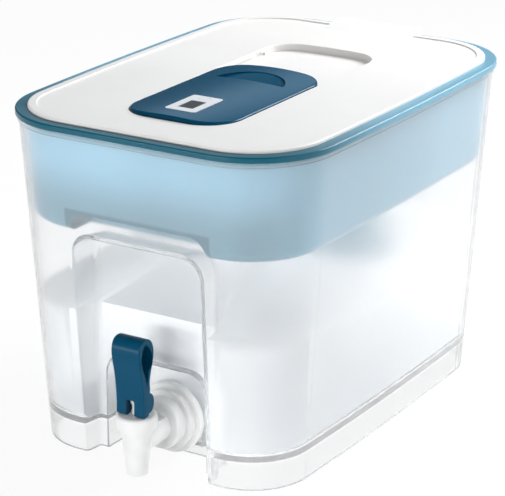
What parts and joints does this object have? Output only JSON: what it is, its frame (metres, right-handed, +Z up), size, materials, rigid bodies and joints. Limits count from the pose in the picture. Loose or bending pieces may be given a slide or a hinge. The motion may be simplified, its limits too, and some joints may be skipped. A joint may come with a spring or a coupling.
{
  "type": "water filter dispenser",
  "caption": "Fridge-size water filter dispenser: clear tapered tank with an alcove tap, translucent filling hopper with a filter cartridge, and a lid with a sliding filling cover.",
  "frame": {"origin": "middle of the base, on the surface that the dispenser stands on", "axes": "+X to the right seen from the tap side, +Y to the rear, away from the tap, +Z up"},
  "size_m": [0.2296, 0.3335, 0.2289],
  "materials": {
    "clear_plastic": "clear moulded plastic, slightly hazy",
    "blue_clear_plastic": "translucent light blue moulded plastic",
    "white_plastic": "satin warm white",
    "petrol_plastic": "glossy petrol blue",
    "milky_plastic": "milky white, slightly translucent",
    "silicone": "soft translucent silicone",
    "mesh": "fine woven plastic mesh",
    "granules": "packed dark and amber granules",
    "grey_plastic": "light grey",
    "silver_plastic": "silver white satin",
    "display": "dark display glass",
    "circuit_board": "green board",
    "steel": "plain"
  },
  "bodies": {
    "tank": {"tank": "clear_plastic", "tap_body": "milky_plastic", "tap_bonnet": "milky_plastic", "front_washer": "silicone", "rear_washer": "silicone", "tap_nut": "milky_plastic"},
    "stem": {"tap_stem": "milky_plastic", "lever_pin": "milky_plastic", "seat_cup": "silicone"},
    "lever": {"tap_lever": "petrol_plastic"},
    "hopper": {"hopper": "blue_clear_plastic"},
    "cartridge": {"cartridge_body": "milky_plastic", "cartridge_sieve": "mesh", "filter_media": "granules", "cartridge_mesh": "mesh", "cartridge_seal": "silicone", "cartridge_cap": "milky_plastic"},
    "lid": {"lid": "white_plastic"},
    "cover": {"sliding_cover": "petrol_plastic", "memo_case": "grey_plastic", "memo_bezel": "silver_plastic", "memo_display": "display", "memo_board": "circuit_board", "memo_cell": "steel", "memo_cover": "grey_plastic"},
    "button": {"memo_button": "silver_plastic"}
  },
  "joints": [
    {"name": "hopper_lift", "type": "slide", "parent": "tank", "child": "hopper", "axis": [0, 0, 1], "range_m": [0, 0.18]},
    {"name": "lid_lift", "type": "slide", "parent": "hopper", "child": "lid", "axis": [0, 0, 1], "range_m": [0, 0.12]},
    {"name": "cartridge_lift", "type": "slide", "parent": "hopper", "child": "cartridge", "axis": [0, 0, 1], "range_m": [0, 0.028]},
    {"name": "cover_slide", "type": "slide", "parent": "lid", "child": "cover", "axis": [0, 1, 0], "range_m": [0, 0.072]},
    {"name": "button_press", "type": "slide", "parent": "cover", "child": "button", "axis": [0, 0, -1], "range_m": [0, 0.0005], "stiffness_N_per_m": 300, "springref_m": -0.0004},
    {"name": "lever_turn", "type": "hinge", "parent": "stem", "child": "lever", "pos_m": [0, -0.1554, 0.05], "axis": [1, 0, 0], "range_deg": [0, 35], "stiffness_Nm_per_rad": 0.12, "springref_deg": -8.59},
    {"name": "stem_lift", "type": "slide", "parent": "tank", "child": "stem", "axis": [0, 0, 1], "range_m": [0, 0.00244], "deforming": ["seat_cup"]}
  ],
  "couplings": [
    {"joint": "lever_turn", "follows": "stem_lift", "rad_per_m": 250}
  ]
}
